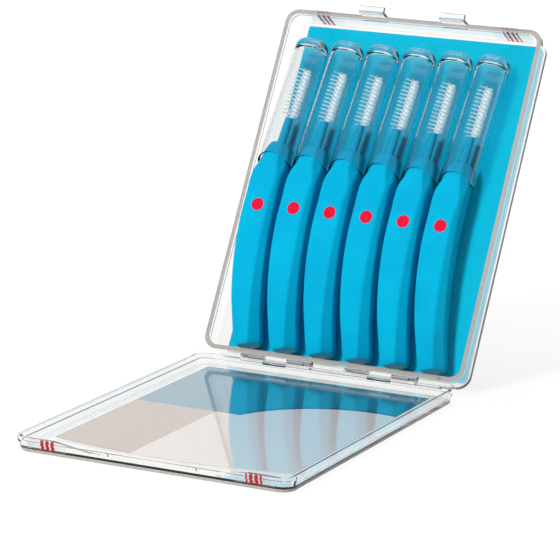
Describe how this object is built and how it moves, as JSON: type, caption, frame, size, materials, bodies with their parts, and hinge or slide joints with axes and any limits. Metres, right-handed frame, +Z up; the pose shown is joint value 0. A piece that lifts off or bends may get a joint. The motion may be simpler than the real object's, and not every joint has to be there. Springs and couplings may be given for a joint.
{
  "type": "cased interdental brush set",
  "caption": "Clear hinged case standing open, holding a row of capped interdental brushes with bent blue handles; each brush lifts out and its cap pulls off.",
  "frame": {"origin": "centre of the lid's underside, on the table", "axes": "+Z up, +Y back towards the leaning tray, +X along the hinge to the right"},
  "size_m": [0.081, 0.1659, 0.1001],
  "materials": {
    "case_clear": "clear moulded polypropylene, glossy",
    "cap_clear": "clear moulded polypropylene, glossy",
    "handle_blue": "moulded polypropylene, fine satin",
    "wire_steel": "twisted steel wire with a pale nylon coating",
    "filament_white": "nylon filaments",
    "dot_red": "moulded colour dot",
    "card_blue": "printed coated board",
    "label_film": "printed clear film",
    "seal_film": "clear adhesive film with red bars"
  },
  "bodies": {
    "tray": {"case_tray": "case_clear", "backing_card": "card_blue", "tray_seal_left": "seal_film", "tray_seal_right": "seal_film"},
    "lid": {"case_lid": "case_clear", "lid_label": "label_film", "lid_seal_left": "seal_film", "lid_seal_right": "seal_film"},
    "brush_1": {"handle_1": "handle_blue", "core_wire_1": "wire_steel", "bristles_1": "filament_white", "size_dot_1": "dot_red"},
    "cap_1": {"cap_1": "cap_clear"},
    "brush_2": {"handle_2": "handle_blue", "core_wire_2": "wire_steel", "bristles_2": "filament_white", "size_dot_2": "dot_red"},
    "cap_2": {"cap_2": "cap_clear"},
    "brush_3": {"handle_3": "handle_blue", "core_wire_3": "wire_steel", "bristles_3": "filament_white", "size_dot_3": "dot_red"},
    "cap_3": {"cap_3": "cap_clear"},
    "brush_4": {"handle_4": "handle_blue", "core_wire_4": "wire_steel", "bristles_4": "filament_white", "size_dot_4": "dot_red"},
    "cap_4": {"cap_4": "cap_clear"},
    "brush_5": {"handle_5": "handle_blue", "core_wire_5": "wire_steel", "bristles_5": "filament_white", "size_dot_5": "dot_red"},
    "cap_5": {"cap_5": "cap_clear"},
    "brush_6": {"handle_6": "handle_blue", "core_wire_6": "wire_steel", "bristles_6": "filament_white", "size_dot_6": "dot_red"},
    "cap_6": {"cap_6": "cap_clear"}
  },
  "joints": [
    {"name": "lid_hinge", "type": "hinge", "parent": "tray", "child": "lid", "pos_m": [0, 0.05386, 0.0039], "axis": [1, 0, 0], "range_deg": [-119.32, 0]},
    {"name": "brush_1_lift", "type": "slide", "parent": "tray", "child": "brush_1", "axis": [0, -0.8719, 0.4897], "range_m": [0, 0.03]},
    {"name": "cap_1_pull", "type": "slide", "parent": "brush_1", "child": "cap_1", "axis": [0.0698, 0.4885, 0.8698], "range_m": [0, 0.006]},
    {"name": "brush_2_lift", "type": "slide", "parent": "tray", "child": "brush_2", "axis": [0, -0.8719, 0.4897], "range_m": [0, 0.03]},
    {"name": "cap_2_pull", "type": "slide", "parent": "brush_2", "child": "cap_2", "axis": [0.0698, 0.4885, 0.8698], "range_m": [0, 0.006]},
    {"name": "brush_3_lift", "type": "slide", "parent": "tray", "child": "brush_3", "axis": [0, -0.8719, 0.4897], "range_m": [0, 0.03]},
    {"name": "cap_3_pull", "type": "slide", "parent": "brush_3", "child": "cap_3", "axis": [0.0698, 0.4885, 0.8698], "range_m": [0, 0.006]},
    {"name": "brush_4_lift", "type": "slide", "parent": "tray", "child": "brush_4", "axis": [0, -0.8719, 0.4897], "range_m": [0, 0.03]},
    {"name": "cap_4_pull", "type": "slide", "parent": "brush_4", "child": "cap_4", "axis": [0.0698, 0.4885, 0.8698], "range_m": [0, 0.006]},
    {"name": "brush_5_lift", "type": "slide", "parent": "tray", "child": "brush_5", "axis": [0, -0.8719, 0.4897], "range_m": [0, 0.03]},
    {"name": "cap_5_pull", "type": "slide", "parent": "brush_5", "child": "cap_5", "axis": [0.0698, 0.4885, 0.8698], "range_m": [0, 0.006]},
    {"name": "brush_6_lift", "type": "slide", "parent": "tray", "child": "brush_6", "axis": [0, -0.8719, 0.4897], "range_m": [0, 0.03]},
    {"name": "cap_6_pull", "type": "slide", "parent": "brush_6", "child": "cap_6", "axis": [0.0698, 0.4885, 0.8698], "range_m": [0, 0.006]}
  ]
}
